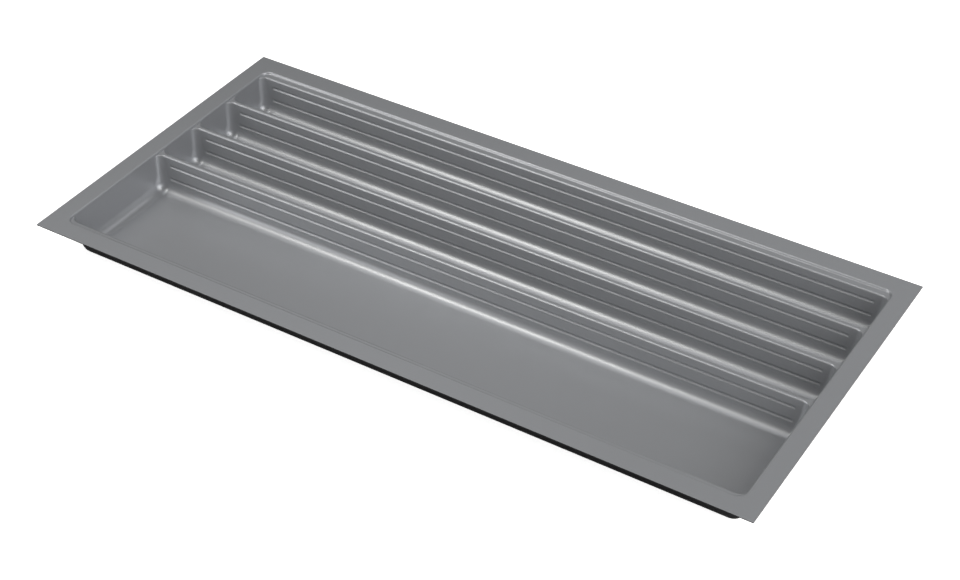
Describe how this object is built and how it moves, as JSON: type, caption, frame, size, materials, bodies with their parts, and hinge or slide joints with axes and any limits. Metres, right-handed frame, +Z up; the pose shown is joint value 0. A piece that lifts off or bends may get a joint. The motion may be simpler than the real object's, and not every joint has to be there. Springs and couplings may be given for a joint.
{
  "type": "cutlery tray",
  "caption": "Wide rectangular drawer tray with a flat rim, one wide compartment and narrow grooved compartments behind it, silver above and black below.",
  "frame": {"origin": "middle of the rectangular footprint, at the underside of the floors", "axes": "+X along the long side to the right, +Y from the wide compartment towards the narrow ones at the back, +Z up out of the compartments"},
  "size_m": [1, 0.48, 0.056],
  "materials": {
    "silver_face": "satin metallic",
    "black_core": "smooth"
  },
  "bodies": {
    "root": {"silver_cap_layer": "silver_face", "rim_front": "black_core", "rim_back": "black_core", "rim_left": "black_core", "rim_right": "black_core", "front_wall": "black_core", "back_wall": "black_core", "left_end_wall": "black_core", "right_end_wall": "black_core", "floor_wide": "black_core", "floor_narrow_front": "black_core", "floor_narrow_middle": "black_core", "floor_narrow_rear": "black_core", "divider_front": "black_core", "divider_middle": "black_core", "divider_rear": "black_core"}
  },
  "joints": []
}
